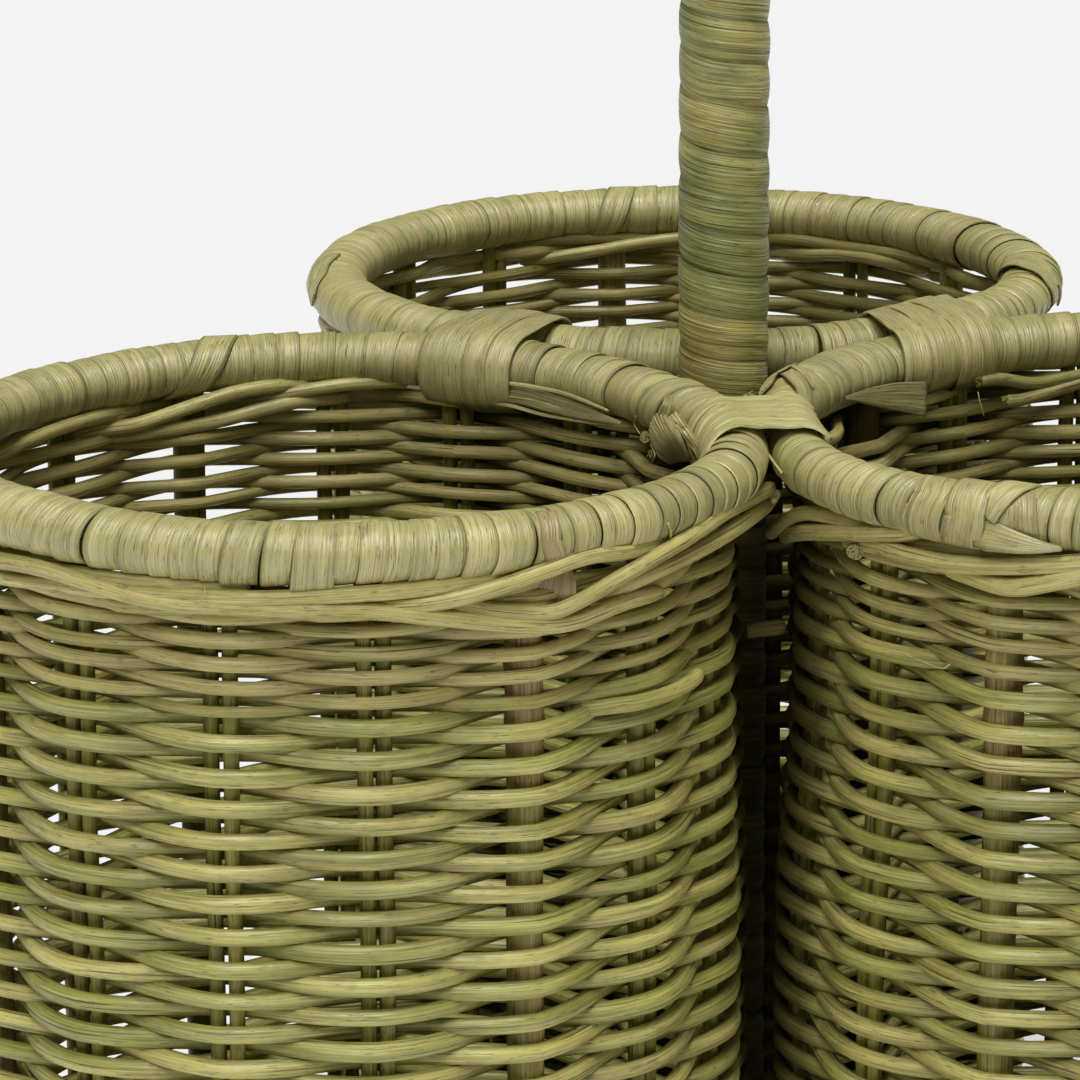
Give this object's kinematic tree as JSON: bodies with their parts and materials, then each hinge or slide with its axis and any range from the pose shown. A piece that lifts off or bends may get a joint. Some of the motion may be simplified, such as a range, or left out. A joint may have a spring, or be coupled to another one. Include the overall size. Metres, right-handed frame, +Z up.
{
  "type": "wine bottle basket",
  "caption": "Woven rattan bottle carrier: round open cells joined in a ring, each with a cane-wrapped rim, round a central wrapped pole that ends in a loop grip.",
  "frame": {"origin": "centre of the overall box, on the surface it stands on", "axes": "+Z up along the handle pole; -Y the side with two cells, +Y the side with one cell; +X to the right when looking along +Y"},
  "size_m": [0.2404, 0.2243, 0.3599],
  "materials": {
    "rim_wrap": "satin cane peel, wound tight",
    "thin_weaver": "fine round rattan core",
    "thick_weaver": "round rattan core, olive green",
    "base_weaver": "round rattan core",
    "foot_border": "plaited round core",
    "stake": "thin round stakes",
    "post": "thick round uprights, brownish",
    "hoop": "bent cane",
    "binding": "flat cane peel",
    "handle_wrap": "flat cane peel, greener",
    "handle_cane": "thick cane",
    "peg": "cane offcut",
    "nail": "plain steel nail"
  },
  "bodies": {
    "root": {"left_rim_hoop": "hoop", "left_rim_wrap": "rim_wrap", "left_upper_weave": "thin_weaver", "left_wall_weave": "thick_weaver", "left_base_weave": "base_weaver", "left_foot_border": "foot_border", "left_stake_pairs": "stake", "left_post_outer": "post", "left_post_side_a": "post", "left_post_inner": "post", "left_post_side_b": "post", "left_rim_nail": "nail", "left_base_nail": "nail", "right_rim_hoop": "hoop", "right_rim_wrap": "rim_wrap", "right_upper_weave": "thin_weaver", "right_wall_weave": "thick_weaver", "right_base_weave": "base_weaver", "right_foot_border": "foot_border", "right_stake_pairs": "stake", "right_post_outer": "post", "right_post_side_a": "post", "right_post_inner": "post", "right_post_side_b": "post", "right_rim_nail": "nail", "right_base_nail": "nail", "back_rim_hoop": "hoop", "back_rim_wrap": "rim_wrap", "back_upper_weave": "thin_weaver", "back_wall_weave": "thick_weaver", "back_base_weave": "base_weaver", "back_foot_border": "foot_border", "back_stake_pairs": "stake", "back_post_outer": "post", "back_post_side_a": "post", "back_post_inner": "post", "back_post_side_b": "post", "back_rim_nail": "nail", "back_base_nail": "nail", "left_right_binding": "binding", "left_back_binding": "binding", "right_back_binding": "binding", "left_right_tie_peg": "peg", "left_back_tie_peg": "peg", "right_back_tie_peg": "peg", "handle_cane": "handle_cane", "handle_pole_wrap": "handle_wrap", "handle_loop_wrap": "handle_wrap", "handle_fork_binding": "binding", "handle_rim_packing": "binding", "handle_base_packing": "binding"}
  },
  "joints": []
}
